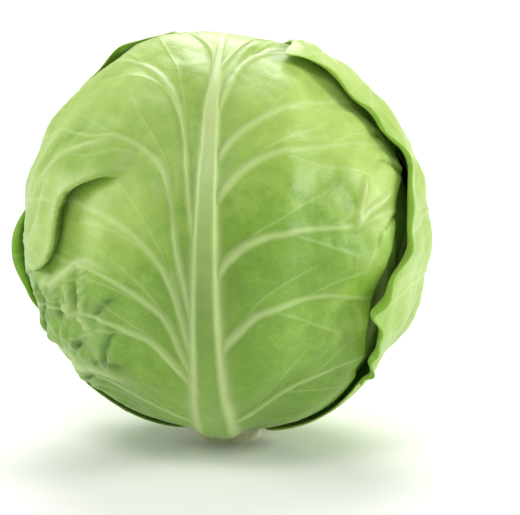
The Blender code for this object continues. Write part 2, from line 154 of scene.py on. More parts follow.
BACK_RIGHT = (
    ((0, -82.5), (15, -87), (32, -79), (41, -67), (44, -55)),
    ((0, -64), (8, -57), (15, -51), (22, -45), (26, -40)),
    ((0, -42), (6, -30), (16, -19), (29, -13), (42, -10)),
    ((0, -20), (5, -10), (9, -3), (14, 3), (18, 7)),
    ((0, 2), (3, 9), (7, 15), (11, 19), (15, 21)),
    ((0, 20), (3, 28), (6, 34), (10, 38), (15, 40)),
    ((0, 34), (2, 41), (5, 48), (9, 53), (13, 56)),
    ((0, 44), (0, 49), (0, 54), (0, 59), (0, 64)),
)
print("rows in the front leaf:", len(FRONT_LEFT))

# %% [markdown]
# The six wrapper leaves from the innermost out: the name of the frame's node, the turn
# of its midrib about the head, both halves, then how many rows and how many columns in
# each half its mesh gets. The leaves that show most get the finest mesh, about one and
# a half millimetres between points.

# %% The six wrapper leaves
LEAVES = (
    ("leaf_inner_right", 56.0, PLAIN_ROWS, PLAIN_ROWS, 110, 70),
    ("leaf_inner_left", -70.0, PLAIN_ROWS, PLAIN_ROWS, 90, 56),
    ("leaf_inner_back", 174.0, PLAIN_ROWS, PLAIN_ROWS, 110, 70),
    ("leaf_front", -5.0, FRONT_LEFT, FRONT_RIGHT, 200, 120),
    ("leaf_back_left", -136.0, BACK_LEFT, BACK_RIGHT, 150, 95),
    ("leaf_outer_right", 126.0, OUTER_LEFT, OUTER_RIGHT, 180, 115),
)
print("leaves:", [leaf[0] for leaf in LEAVES])

# %% [markdown]
# A few small tools for shapes: a soft step from 0 to 1, a set of seeded waves, and a
# curve through given points that never swings past them. Seeded waves look irregular but
# come out the same on each run, which a natural surface needs and noise without a seed
# doesn't give.

# %% Steps, waves and curves
def smoothstep(low, high, value):
    t = np.clip((value - low) / (high - low), 0.0, 1.0)
    return t * t * (3.0 - 2.0 * t)


def waves(seed, count, longest, shortest):
    """Seeded cosine waves across directions in space, as (axis, phase) pairs."""
    rng = np.random.default_rng(seed)
    axes = rng.normal(size=(count, 3))
    axes /= np.linalg.norm(axes, axis=1, keepdims=True)
    turns = rng.uniform(longest, shortest, size=(count, 1))
    return axes * turns, rng.uniform(0.0, 2.0 * math.pi, size=count)


def wave_sum(pair, directions):
    axes, phases = pair
    return np.cos(directions @ axes.T + phases).mean(axis=-1)


def ripples(seed, place, wavelength, count=7):
    """Seeded waves of one size on flat places in millimetres, from about -1 to 1."""
    rng = np.random.default_rng(seed)
    angles = rng.uniform(0.0, math.pi, size=count)
    lengths = wavelength * rng.uniform(0.75, 1.35, size=count)
    phases = rng.uniform(0.0, 2.0 * math.pi, size=count)
    total = np.zeros(place.shape[:-1])
    for angle, length, phase in zip(angles, lengths, phases):
        distance = place[..., 0] * math.cos(angle) + place[..., 1] * math.sin(angle)
        total += np.cos(2.0 * math.pi * distance / length + phase)
    return total / math.sqrt(count)


def spline(knots, values, where):
    """A smooth curve through values at the knots that never overshoots them."""
    step = np.diff(knots)
    rise = np.diff(values, axis=0) / step.reshape((-1,) + (1,) * (values.ndim - 1))
    slope = np.empty_like(values)
    slope[0], slope[-1] = rise[0], rise[-1]
    same = rise[:-1] * rise[1:] > 0.0
    total = np.where(same, rise[:-1] + rise[1:], 1.0)
    slope[1:-1] = np.where(same, 2.0 * rise[:-1] * rise[1:] / total, 0.0)
    index = np.clip(np.searchsorted(knots, where, side="right") - 1, 0, len(knots) - 2)
    shape = index.shape + (1,) * (values.ndim - 1)
    width = step[index].reshape(shape)
    t = ((where - knots[index]) / step[index]).reshape(shape)
    return (values[index] * (1 + 2 * t) * (1 - t) ** 2 + slope[index] * width * t * (1 - t) ** 2
            + values[index + 1] * t * t * (3 - 2 * t) + slope[index + 1] * width * t * t * (t - 1))


print("soft step at a quarter:", round(float(smoothstep(0.0, 1.0, 0.25)), 3))

# %% [markdown]
# The heart is a rounded ball with soft swells and low spiral steps, where the edges of
# its packed leaves lie. Each wrapper leaf is draped over whatever lies under it: every
# direction from the middle of the head keeps the height reached so far, that height is
# spread and smoothed a little, and the next leaf rests on it. So a leaf rides over the
# ribs and edges inside it, as cloth would, and no two leaves cut through each other.

# %% Draping a leaf over what lies under it
HEAD_WAVES = waves(7, 6, 3.0, 6.5)


def heart_radius(directions):
    """The dense heart's radius: a rounded head with soft swells and spiral leaf steps."""
    flat = directions[..., 0] ** 2 + directions[..., 1] ** 2
    up = directions[..., 2]
    height = np.where(up > 0.0, HEART_UP, HEART_DOWN)
    radius = 1.0 / np.sqrt(flat / HEART_ACROSS ** 2 + (up / height) ** 2)
    around = np.arctan2(directions[..., 0], -directions[..., 1]) / (2.0 * math.pi)
    spiral = np.mod(3.0 * around + 0.8 * up, 1.0)
    step = HEART_STEP * spiral * (1.0 - smoothstep(0.86, 1.0, spiral)) * flat
    for towards, bulge in SHOULDERS:
        step = step + bulge * smoothstep(0.65, 1.0, directions @ np.array(towards))
    return radius + 1.6 * wave_sum(HEAD_WAVES, directions) + step


def sphere_samples(count):
    turn = math.pi * (3.0 - math.sqrt(5.0))
    index = np.arange(count)
    height = 1.0 - (2.0 * index + 1.0) / count
    ring = np.sqrt(1.0 - height ** 2)
    return np.stack([ring * np.cos(turn * index), ring * np.sin(turn * index), height], axis=1)


SAMPLES = sphere_samples(SAMPLE_COUNT)
FAST_SAMPLES = np.ascontiguousarray(SAMPLES.T.astype(np.float32))


def widened(covered):
    """Each sample takes the largest radius found within SPREAD degrees of it."""
    out = np.empty_like(covered)
    limit = math.cos(math.radians(SPREAD))
    for start in range(0, len(SAMPLES), 1000):
        near = SAMPLES[start:start + 1000] @ SAMPLES.T > limit
        out[start:start + 1000] = np.where(near, covered, 0.0).max(axis=1)
    return out


def draped(wide, directions):
    """A smooth surface over the widened radii, read in any direction."""
    sharpness = np.float32(1.0 / math.radians(BLUR) ** 2)
    flat = directions.reshape(-1, 3).astype(np.float32)
    heights = wide.astype(np.float32)
    out = np.empty(len(flat))
    for start in range(0, len(flat), 3000):
        weight = flat[start:start + 3000] @ FAST_SAMPLES
        weight -= 1.0
        weight *= sharpness
        np.exp(weight, out=weight)
        out[start:start + 3000] = (weight @ heights) / weight.sum(axis=1)
    return out.reshape(directions.shape[:-1])


print("directions kept round the head:", SAMPLE_COUNT)

# %% [markdown]
# One half of a leaf: any row between two veins is a blend of theirs, and both halves
# must meet at the same points of the midrib. The row number is kept as a measure of its
# own, because the veins lie at its whole numbers, and both the ridges of the mesh and
# the pale lines of the colour are drawn from it.

# %% Rows of a leaf
def along_rows(rows, out):
    """Reads each row's own curve at its own fractions of the way out."""
    result = np.empty(out.shape + (2,))
    for index in range(len(rows)):
        result[index] = spline(ROW_KNOTS, rows[index], out[index])
    return result


class Side:
    """One half of a leaf blade, between its midrib and one edge."""

    def __init__(self, table, sign):
        self.rows = np.array(table, dtype=float)
        self.rows[:, :, 0] *= sign
        apart = np.linalg.norm(np.diff(self.rows, axis=0), axis=2).mean(axis=1)
        self.knots = np.concatenate([[0.0], np.cumsum(apart)]) / apart.sum()

    def foot(self, along):
        return spline(self.knots, self.rows[:, 0, 1:2], along)[:, 0]

    def fine_rows(self, along):
        return spline(self.knots, self.rows, along)

    def row_number(self, along):
        return np.interp(along, self.knots, np.arange(len(self.knots)))


def shared_rows(left, right, count):
    """Row places on both halves that meet at the same points of the midrib."""
    fine = np.linspace(0.0, 1.0, 800)
    left_foot, right_foot = left.foot(fine), right.foot(fine)
    foot = np.linspace(left_foot[0], left_foot[-1], 1600)
    on_left = np.interp(foot, left_foot, fine)
    on_right = np.interp(foot, right_foot, fine)
    wanted = np.linspace(0.0, 1.0, count)
    chosen = np.interp(wanted, 0.5 * (on_left + on_right), foot)
    return np.interp(chosen, foot, on_left), np.interp(chosen, foot, on_right)


print("knots of the front leaf:", np.round(Side(FRONT_LEFT, -1).knots, 2).tolist())

# %% [markdown]
# Big folds are bent into the sheet, because a real leaf keeps its length when it folds.
# A rolled edge curls the last millimetres of a row outwards on an arc. The long fold at
# the left of the front leaf follows a line on the flat leaf: the blade outside the line
# rises as a roll and leans back over it, so it hangs over a dark groove.

# %% Rolled edges and the long fold
# The fold's line on the flat leaf in degrees, and how high the roll stands along it.
FOLD_LINE = ((-23, 22), (-28, 23), (-35, 22), (-42, 19), (-45, 14), (-46, 7), (-49, 1),
             (-56, -5), (-66, -9))
FOLD_RISE = (0.0, 3.0, 5.5, 7.0, 7.5, 7.0, 6.0, 4.5, 2.0)
FOLD_WIDTH = 3.8
FOLD_LEAN = 12.0
FOLD_FALLS = 24.0
GROOVE_DEPTH = 1.6
GROOVE_WIDTH = 2.6
FINE_STEPS = 49
# How many millimetres of an edge roll outwards, from the leaf's base to its tip.
OUTER_ROLL = (3.0, 7.0, 12.0, 8.0, 5.5, 4.5, 3.0, 0.5, 0.0)
SIDE_ROLL = (0.0, 0.0, 5.0, 2.0, 0.0, 0.0, 0.0, 0.0)
ROLLED_EDGES = {("leaf_outer_right", -1): OUTER_ROLL, ("leaf_back_left", 1): SIDE_ROLL}


def roll_edge(travel, length, roll):
    """The last roll millimetres of a row curl outwards on an arc."""
    roll = np.maximum(roll, 0.01)[:, None]
    radius = np.maximum(2.6, roll / 1.75)
    past = np.clip(travel - (length[:, None] - roll), 0.0, None)
    angle = past / radius
    moved = np.minimum(travel, length[:, None] - roll) + radius * np.sin(angle)
    return moved, radius * (1.0 - np.cos(angle))


def to_fold(place):
    """Millimetres outside the fold line, the share along it, and the way outwards."""
    knots = np.linspace(0.0, 1.0, len(FOLD_LINE))
    points = spline(knots, np.array(FOLD_LINE, dtype=float), np.linspace(0.0, 1.0, FINE_STEPS))
    best = np.full(place.shape[:-1], 1e9)
    where = np.zeros(place.shape[:-1])
    outside = np.zeros(place.shape[:-1])
    outward = np.zeros(place.shape)
    for index, (start, end) in enumerate(zip(points, points[1:])):
        run = end - start
        side = np.array([run[1], -run[0]]) / np.linalg.norm(run)
        share = np.clip(((place - start) @ run) / (run @ run), 0.0, 1.0)
        away = place - start - share[..., None] * run
        gap = np.linalg.norm(away, axis=-1) * DEGREE_LENGTH
        nearer = gap < best
        best = np.where(nearer, gap, best)
        where = np.where(nearer, (index + share) / (len(points) - 1), where)
        outside = np.where(nearer, gap * np.sign(away @ side), outside)
        outward = np.where(nearer[..., None], side, outward)
    return outside, where, outward


def fold_over(place):
    """A roll that rises outside the fold line and leans back over a groove, with a painted highlight on
    its crest and painted shade in its groove.
    """
    outside, where, outward = to_fold(place)
    rise = np.interp(where, np.linspace(0.0, 1.0, len(FOLD_RISE)), FOLD_RISE)
    share = outside / FOLD_WIDTH
    lean = FOLD_LEAN * rise / max(FOLD_RISE) * share * np.exp(-0.5 * share ** 2)
    moved = place - outward * (lean / DEGREE_LENGTH)[..., None]
    up = smoothstep(-2.4, 2.4, outside)
    down = 1.0 - smoothstep(3.0, FOLD_FALLS, outside)
    depth = rise / max(FOLD_RISE)
    groove = GROOVE_DEPTH * depth * np.exp(-((outside + 3.0) / GROOVE_WIDTH) ** 2)
    # Painted highlight along the roll's crest and painted shade in the groove under it.
    painted_crest_highlight = 0.6 * np.exp(-((outside - 4.5) / 1.6) ** 2)
    painted_groove_shade = np.exp(-((outside + 0.6) / 2.4) ** 2)
    return moved, rise * up * down - groove, depth * (painted_crest_highlight - painted_groove_shade)


print("the long fold stands", max(FOLD_RISE), "mm out")

# %% [markdown]
# Smaller creases of the front leaf: pressed lines where the blade was squeezed against
# its neighbours. Each is a line of flat places with a height in millimetres, below zero
# for a groove, and a half width. They are real shapes in the mesh, because they catch
# light and throw shadows at this size.

# %% Creases of the front leaf
CREASES = (
    (3.6, 1.2, ((-66, -10), (-60, -9), (-51, -11), (-47, -8), (-40, -3), (-33, -2), (-25, -3))),
    (2.8, 1.1, ((-51, -12), (-47, -17), (-41, -20), (-33, -25))),
    (-5.5, 1.8, ((-63, -12), (-61, -14), (-57, -17), (-60, -24), (-63, -31), (-65, -38))),
    (2.6, 0.9, ((-43, -6), (-43, -12), (-45, -18), (-46, -22))),
    (2.6, 0.9, ((-37, -3), (-37, -9), (-38, -15), (-40, -20))),
    (-3.4, 1.5, ((-41, -7), (-40, -11), (-42, -17))),
    (-3.0, 1.6, ((-48, -14), (-50, -18), (-50, -23))),
    (-3.0, 1.0, ((-35, -20), (-31, -15), (-28, -12), (-24, -10))),
    (-3.4, 1.1, ((-25, -20), (-28, -23), (-30, -27), (-31, -31), (-32, -35))),
    (-2.2, 0.9, ((-39, -36), (-36, -34), (-30, -32), (-22, -31))),
    (2.6, 1.5, ((-54, -44), (-48, -42), (-41, -40), (-32, -38), (-22, -37))),
    (-4.0, 1.2, ((-56, -62), (-52, -56), (-47, -48), (-41, -41))),
    (-3.6, 2.6, ((-47, -33), (-44, -31), (-41, -28))),
    (2.0, 1.5, ((-66, 14), (-60, 22), (-50, 28), (-40, 32), (-28, 34))),
    (-1.8, 3.2, ((-62, 26), (-52, 36), (-42, 42))),
    (-3.6, 1.2, ((54, 43), (60, 43), (64, 38), (67, 33), (70, 30))),
    (-3.6, 1.2, ((52, 31), (57, 32), (61, 30), (66, 27), (70, 24))),
    (-1.6, 4.5, ((35, 27), (41, 21), (45, 14))),
    (1.8, 1.3, ((48, 26), (47, 20), (45, 14), (44, 9))),
    (2.6, 1.3, ((43, 9), (48, 14), (53, 17), (59, 21))),
    (-2.2, 1.4, ((50, 1), (52, 6), (57, 11), (62, 14))),
    (1.6, 1.6, ((46, -4), (50, 2), (54, 8), (58, 14))),
)


def line_distance(place, points):
    """Millimetres to a line of flat places, and how far along it the nearest point is."""
    points = np.array(points, dtype=float)
    best = np.full(place.shape[:-1], 1e9)
    where = np.zeros(place.shape[:-1])
    for index, (start, end) in enumerate(zip(points, points[1:])):
        run = end - start
        share = np.clip(((place - start) @ run) / (run @ run), 0.0, 1.0)
        gap = np.linalg.norm(place - start - share[..., None] * run, axis=-1) * DEGREE_LENGTH
        where = np.where(gap < best, (index + share) / (len(points) - 1), where)
        best = np.minimum(best, gap)
    return best, where


def crease_fade(where):
    """1 along the middle of a crease, running out towards both of its ends."""
    return smoothstep(-0.05, 0.22, where) * (1.0 - smoothstep(0.78, 1.05, where))


def crease_lift(place):
    """Sharp ridges and grooves, and a soft shoulder on both sides of each groove."""
    total = np.zeros(place.shape[:-1])
    for height, half_width, points in CREASES:
        gap, where = line_distance(place, points)
        fade = crease_fade(where)
        total += height * fade * np.exp(-gap / (1.25 * half_width))
        if height < 0.0:
            shoulder = 0.6 * -height * np.exp(-0.5 * (gap / (3.2 * half_width)) ** 2)
            total += fade * shoulder
    return total


def crease_light_and_shade(name, place):
    """Painted light along the creases: a painted highlight on ridges and painted shade in grooves, from -1
    to 1.
    """
    total = np.zeros(place.shape[:-1])
    if name != "leaf_front":
        return total
    for height, half_width, points in CREASES:
        gap, where = line_distance(place, points)
        strength = np.clip(0.4 * height, -1.0, 1.0) * crease_fade(where)
        total += strength * np.exp(-0.5 * (gap / half_width) ** 2)
    return np.clip(total, -1.0, 1.0)


def window(place, middle, reach):
    """1 around a flat place, fading to 0 a given number of degrees away."""
    away = (place - np.array(middle)) / np.array(reach)
    return np.exp(-0.5 * (away ** 2).sum(axis=-1))


print("creases on the front leaf:", len(CREASES))

# %% [markdown]
# Between two veins the blade of a cabbage leaf bulges softly, because it grew faster
# than the veins that hold it, and its free margin is ruffled for the same reason. Where
# the head pressed it flat the blade crinkles instead. These small swells are added to
# the sheet itself.

# %% Swells and crinkles of the blade
QUILT = 1.5
PUCKER = 0.15
SWELL = 0.6
DEEPEST = -0.45
# Crinkled places: middle and reach in degrees, fold spacing and height in millimetres.
CRINKLES = (
    ((-50.0, -29.0), (14.0, 11.0), 6.5, 1.1),
    ((-36.0, -46.0), (14.0, 12.0), 8.0, 0.8),
    ((44.0, -10.0), (13.0, 12.0), 9.0, 0.45),
    ((-60.0, 4.0), (7.0, 12.0), 7.0, 0.6),
)


def blade_swell(name, place, out, row):
    """Lift in millimetres of the quilting between veins and of the crinkles."""
    seed = 40 + 3 * len(name)
    flat = place * DEGREE_LENGTH
    between = np.sin(math.pi * np.mod(row, 1.0)) ** 2
    hold = smoothstep(0.05, 0.3, out) * (1.0 - smoothstep(0.75, 0.98, out))
    swell = QUILT * between * hold * (0.65 + 0.35 * ripples(seed, flat, 34.0))
    swell += PUCKER * np.abs(ripples(seed + 1, flat, 13.0)) * smoothstep(0.04, 0.2, out)
    swell += SWELL * (0.5 + 0.5 * np.clip(ripples(seed + 2, flat, 30.0), -1.0, 1.0))
    if name == "leaf_front":
        for middle, reach, wavelength, height in CRINKLES:
            folds = np.abs(ripples(seed + int(wavelength), flat, 2.0 * wavelength))
            swell += height * folds * window(place, middle, reach)
        swell += crease_lift(place)
    return np.maximum(swell, DEEPEST)


print("quilting between veins:", QUILT, "mm")

# %% [markdown]
# The veins stand out on the outer face of the blade. The midrib is a broad flat band
# with steep sides, wide and thick at the stalk and fine where it forks. Side veins lie
# on whole row numbers, and smaller branches leave them and meet halfway to the next
# vein. The same list of branches is used by the colour later.

# %% Ribs and veins
RIB_ALONG = (-84.0, -60.0, -26.0, 10.0, 40.0, 62.0, 90.0)
RIB_HALF_WIDTH = (13.0, 9.0, 5.4, 3.9, 3.0, 2.0, 1.2)
RIB_HEIGHT = (3.4, 3.6, 3.0, 2.3, 1.7, 1.0, 0.3)
VEIN_HEIGHT = 1.15
VEIN_HALF_WIDTH = 1.9
BRANCH_HEIGHT = 0.3
# Where on the way out a branch leaves its vein, and how many rows it crosses on the
# whole way out. A branch below zero leaves from the vein above.
BRANCHES = ((0.2, 1.3), (0.36, -1.1), (0.54, 1.1))


def rib_profile(place):
    """0 to 1 across the midrib, and its height in millimetres."""
    half_width = np.interp(place[..., 1], RIB_ALONG, RIB_HALF_WIDTH)
    height = np.interp(place[..., 1], RIB_ALONG, RIB_HEIGHT)
    distance = np.abs(place[..., 0]) * DEGREE_LENGTH
    return 1.0 / (1.0 + (distance / half_width) ** 6), height


def vein_ridges(out, row, spacing, last):
    """Height of the side veins and of their branches, in millimetres."""
    near = np.abs(row - np.round(row)) * spacing
    half_width = VEIN_HALF_WIDTH - 1.1 * out
    real = smoothstep(0.4, 0.6, row) * (1.0 - smoothstep(last - 0.6, last - 0.4, row))
    height = VEIN_HEIGHT * (1.0 - 0.8 * smoothstep(0.1, 0.85, out))
    total = height * np.exp(-(near / half_width) ** 2) * real
    share = np.mod(row, 1.0)
    for start, slope in BRANCHES:
        wanted = abs(slope) * (out - start)
        from_vein = share if slope > 0.0 else 1.0 - share
        gap = np.abs(from_vein - wanted) * spacing
        ridge = BRANCH_HEIGHT * (1.0 - 0.6 * out) * np.exp(-(gap / 1.0) ** 2)
        ends = smoothstep(start, start + 0.04, out) * (1.0 - smoothstep(0.4, 0.56, wanted))
        total = np.maximum(total, ridge * ends)
    return total * smoothstep(0.02, 0.08, out)


print("midrib is", 2 * RIB_HALF_WIDTH[2], "mm wide at the front's middle")

# %% [markdown]
# Now a whole half of a leaf: places along each row, what the folds do to them, and the
# lift of the blade. The outline is waved a little and the margin ruffled. Everything a
# material needs later is kept beside the shape.

# %% Drawing half a leaf
OUTLINE_WAVE = 0.035
RUFFLE = 1.7


def half_leaf(name, side, sign, along, out):
    """All that one half of a leaf needs, row by row: places, lift, thickness, measures."""
    rows = side.fine_rows(along)
    fine = np.linspace(0.0, 1.0, 81)
    path = along_rows(rows, np.repeat(fine[None, :], len(rows), axis=0))
    steps = np.linalg.norm(np.diff(path, axis=1), axis=2) * DEGREE_LENGTH
    reach = np.concatenate([np.zeros((len(rows), 1)), np.cumsum(steps, axis=1)], axis=1)
    free = smoothstep(0.0, 0.1, along) * (1.0 - smoothstep(0.88, 1.0, along))
    edge_wave = 0.5 + 0.5 * np.cos(2.0 * math.pi * (5.0 * along + 0.3 * sign + 0.13 * len(name)))
    out = out * (1.0 - OUTLINE_WAVE * edge_wave * free)[:, None]
    travel = np.stack([np.interp(o, fine, r) for o, r in zip(out, reach)])
    lift = np.zeros_like(travel)
    moved = travel
    if (name, sign) in ROLLED_EDGES:
        roll = np.interp(along, side.knots, ROLLED_EDGES[(name, sign)])
        roll = roll * (1.0 + 0.16 * np.cos(2.0 * math.pi * 11.0 * along))
        full = reach[:, -1] * out[:, -1]
        moved, lift = roll_edge(travel, full, roll)
    moved_out = np.stack([np.interp(m, r, fine) for m, r in zip(moved, reach)])
    place = along_rows(rows, moved_out)
    flat_place = along_rows(rows, out)
    # The crease measure holds a painted highlight on ridges and painted shade in grooves.
    crease = crease_light_and_shade(name, flat_place)
    # The fold's painted crest highlight and painted groove shade join the crease measure.
    if name == "leaf_front" and sign < 0:
        place, lift, fold_light_and_shade = fold_over(flat_place)
        crease = np.clip(crease + fold_light_and_shade, -1.0, 1.0)
    ruffle = 0.5 + 0.5 * np.sin(2.0 * math.pi * (8.0 * along + 0.21 * len(name)))
    lift = lift + RUFFLE * (free * ruffle)[:, None] * smoothstep(0.72, 1.0, out)
    row = np.repeat(side.row_number(along)[:, None], out.shape[1], axis=1)
    per_row = np.gradient(flat_place, side.row_number(along), axis=0) * DEGREE_LENGTH
    per_out = np.gradient(flat_place, axis=1)
    run = np.linalg.norm(per_out, axis=2) + 1e-9
    spacing = np.abs(per_row[..., 0] * per_out[..., 1] - per_row[..., 1] * per_out[..., 0]) / run
    flat = flat_place * DEGREE_LENGTH
    waver = smoothstep(0.05, 0.25, out)
    row = row + 0.03 * waver * ripples(11, flat, 42.0)
    vein_out = out + 0.012 * waver * ripples(12, flat, 30.0)
    lift = lift + blade_swell(name, flat_place, out, row) * free[:, None]
    thick = BLADE_EDGE + (BLADE - BLADE_EDGE) * (1.0 - out ** 3)
    rib, rib_height = rib_profile(flat_place)
    veins = vein_ridges(vein_out, row, spacing, len(side.knots) - 1)
    thick = thick + np.maximum(rib * rib_height, veins * (1.0 - rib))
    return {"place": place, "flat": flat_place, "lift": lift, "thick": thick, "out": out,
            "vein_out": vein_out, "row": row, "spacing": spacing, "rib": rib,
            "crease": crease,
            "last": np.full_like(out, len(side.knots) - 1.0)}


print("half a leaf keeps its place, lift, thickness, veins and rib")

# %% [markdown]
# Both halves are joined along the midrib and wrapped on the head. What a leaf covers is
# added to the heights that the next leaf has to lie over.

# %% Wrapping a leaf on the head
def leaf_axes(turn):
    """Unit directions across the leaf, out through its middle, and along it."""
    angle, middle = math.radians(turn), math.radians(LEAF_MIDDLE)
    ahead = np.array([math.sin(angle), -math.cos(angle), 0.0])
    across = np.array([math.cos(angle), math.sin(angle), 0.0])
    upward = np.array([0.0, 0.0, 1.0])
    outward = math.sin(middle) * ahead - math.cos(middle) * upward
    along = math.cos(middle) * ahead + math.sin(middle) * upward
    return across, outward, along


def wrapped(turn, place):
    """Turns flat places in degrees into directions from the middle of the head."""
    across, outward, along = leaf_axes(turn)
    radians = np.radians(place)
    angle = np.linalg.norm(radians, axis=-1)
    share = np.sinc(angle / math.pi)[..., None]
    return (np.cos(angle)[..., None] * outward + share * radians[..., :1] * across
            + share * radians[..., 1:] * along)


def leaf_grid(leaf, wide, rows, columns):
    """A whole leaf from left edge to right edge, with directions and radii."""
    name, turn, left_table, right_table = leaf[:4]
    left, right = Side(left_table, -1), Side(right_table, 1)
    left_along, right_along = shared_rows(left, right, rows)
    halves = [half_leaf(name, side, sign, along, columns(side, sign, along))
              for side, sign, along in ((left, -1, left_along), (right, 1, right_along))]
    grid = {key: np.concatenate([halves[0][key][:, ::-1], halves[1][key][:, 1:]], axis=1)
            for key in halves[0]}
    grid["direction"] = wrapped(turn, grid["place"])
    grid["radius"] = draped(wide, grid["direction"]) + LEAF_GAP + grid["lift"]
    return grid


def cover(leaf, wide, covered):
    """Adds a leaf's outer face to what the next leaves have to lie over."""
    even = np.linspace(0.0, 1.0, 56)
    grid = leaf_grid(leaf, wide, 100, lambda side, sign, along: np.tile(even, (len(along), 1)))
    flat = grid["direction"].reshape(-1, 3)
    outer = (grid["radius"] + grid["thick"] + SPARE).reshape(-1)
    for start in range(0, len(flat), 2000):
        nearest = np.argmax(flat[start:start + 2000] @ SAMPLES.T, axis=1)
        np.maximum.at(covered, nearest, outer[start:start + 2000])
    return covered


def column_places(count, crowding):
    """Fractions out from the midrib, closer together where crowding is above one."""
    fine = np.linspace(0.0, 1.0, 400)
    total = np.concatenate([[0.0], np.cumsum(crowding(0.5 * (fine[1:] + fine[:-1])))])
    return np.interp(np.linspace(0.0, total[-1], count + 1), total, fine)


def fold_out(side, along):
    """How far out each row comes nearest to the long fold, evened out a little."""
    fine = np.linspace(0.2, 0.95, 60)
    path = along_rows(side.fine_rows(along), np.tile(fine, (len(along), 1)))
    nearest = fine[np.abs(to_fold(path)[0]).argmin(axis=1)]
    return np.convolve(np.pad(nearest, 5, mode="edge"), np.ones(11) / 11.0, "valid")


def mesh_columns(name, count):
    """Columns of a leaf's mesh: closer by the rib, along the fold and in a rolled edge."""
    def by_rib(out):
        return 1.0 + 1.8 * np.exp(-(out / 0.07) ** 2)

    def columns(side, sign, along):
        folded = name == "leaf_front" and sign < 0
        rolled = (name, sign) in ROLLED_EDGES

        def crowding(out):
            by_fold = 2.2 * np.exp(-((out - 0.5) / 0.06) ** 2) if folded else 0.0
            by_edge = 0.9 * smoothstep(0.76, 0.88, out) if rolled else 0.0
            return by_rib(out) + by_fold + by_edge

        places = np.tile(column_places(count, crowding), (len(along), 1))
        if folded:
            centre = fold_out(side, along)[:, None]
            inside = places / 0.5 * centre
            outside = centre + (places - 0.5) / 0.5 * (1.0 - centre)
            places = np.where(places < 0.5, inside, outside)
        shared = smoothstep(0.75, 1.0, along)[:, None]
        return places * (1.0 - shared) + column_places(count, by_rib) * shared

    return columns


print("leaf middle lies", LEAF_MIDDLE, "degrees from the stalk")

# %% [markdown]
# Where a leaf is pale and where it is dark: it turns paler towards the top, the wax that rubs
# off leaves greener patches, and thin margins are a fresher green. On the front leaf, paler
# patches at its sides and top are painted light, and darker ones near its middle painted shade.
# Three measures are kept at each point: tone with painted light from dark to pale, wax from
# none to thick, and margin.

# %% Tone, wax and margin of each leaf
# Painted light on the front leaf, paler at its sides and top and darker near its middle as painted shade:
# how much, then middle and reach in degrees.
PAINTED_LIGHT_PATCHES = (
    (-0.06, (-20.0, -10.0), (22.0, 16.0)),
    (0.28, (-30.0, 10.0), (12.0, 10.0)),
    (-0.10, (30.0, 0.0), (24.0, 16.0)),
    (0.45, (60.0, 14.0), (12.0, 22.0)),
    (0.25, (40.0, 38.0), (24.0, 14.0)),
    (0.22, (-52.0, 24.0), (22.0, 16.0)),
)
WAX_PATCHES = (
    (0.7, (-14.0, 18.0), (10.0, 22.0)),
    (-0.35, (30.0, 0.0), (26.0, 34.0)),
    (-0.5, (-48.0, -22.0), (18.0, 16.0)),
)


def leaf_tints(name, grid):
    place = grid["flat"]
    flat = place * DEGREE_LENGTH
    up = place[..., 1]
    tone = 0.36 + 0.09 * smoothstep(-35.0, 15.0, up) + 0.35 * smoothstep(15.0, 70.0, up)
    tone = tone + 0.07 * ripples(70 + len(name), flat, 60.0)
    wax = 0.45 + 0.15 * ripples(80 + len(name), flat, 45.0)
    wax = wax - 0.55 * (1.0 - smoothstep(-30.0, 12.0, up))
    if name == "leaf_front":
        # Painted light and shade: paler patches at the sides and top, painted shade near the middle.
        for amount, middle, reach in PAINTED_LIGHT_PATCHES:
            tone = tone + amount * window(place, middle, reach)
        for amount, middle, reach in WAX_PATCHES:
            wax = wax + amount * window(place, middle, reach)
    if name == "leaf_outer_right":
        tone = tone + 0.25
    margin = smoothstep(0.8, 1.0, grid["out"])
    return np.clip(tone, 0.0, 1.0), np.clip(wax, 0.0, 1.0), margin


print("each leaf keeps its tone, wax and margin")

# %% [markdown]
# The leaf itself starts as a flat grid primitive with the right number of rows and
# columns. Its points are moved to the wrapped places, the two halves are merged along
# the centre line past the fork, and a Solidify modifier gives the sheet its thickness
# outwards, weighted point by point with the heights of rib and veins. Drawn like this,
# the inner face lies smooth on what is under it and the veins stand out, as on the real
# leaf. Modelling thousands of points by hand couldn't keep the layers apart.

# %% Building a leaf from a grid
def keep_measures(mesh, order, grid, name):
    """Stores the flat drawing and the tints of a leaf at its points."""
    tone, wax, margin = leaf_tints(name, grid)
    vectors = {
        "leaf_flat": (grid["flat"][..., 0] * DEGREE_LENGTH, grid["flat"][..., 1] * DEGREE_LENGTH,
                      np.full_like(tone, 100.0 * len(name))),
        "leaf_rows": (grid["vein_out"], grid["row"], grid["spacing"]),
        "leaf_tints": (tone, wax, margin),
        "leaf_ribs": (grid["rib"], grid["last"], grid["crease"]),
    }
    for title, parts in vectors.items():
        values = np.empty((len(mesh.vertices), 3), dtype=np.float32)
        values[order] = np.stack(parts, axis=-1).reshape(-1, 3)
        layer = mesh.attributes.new(title, "FLOAT_VECTOR", "POINT")
        layer.data.foreach_set("vector", values.reshape(-1))


def start_clean():
    if bpy.context.object is not None and bpy.context.object.mode != "OBJECT":
        bpy.ops.object.mode_set(mode="OBJECT")
    bpy.ops.object.select_all(action="DESELECT")


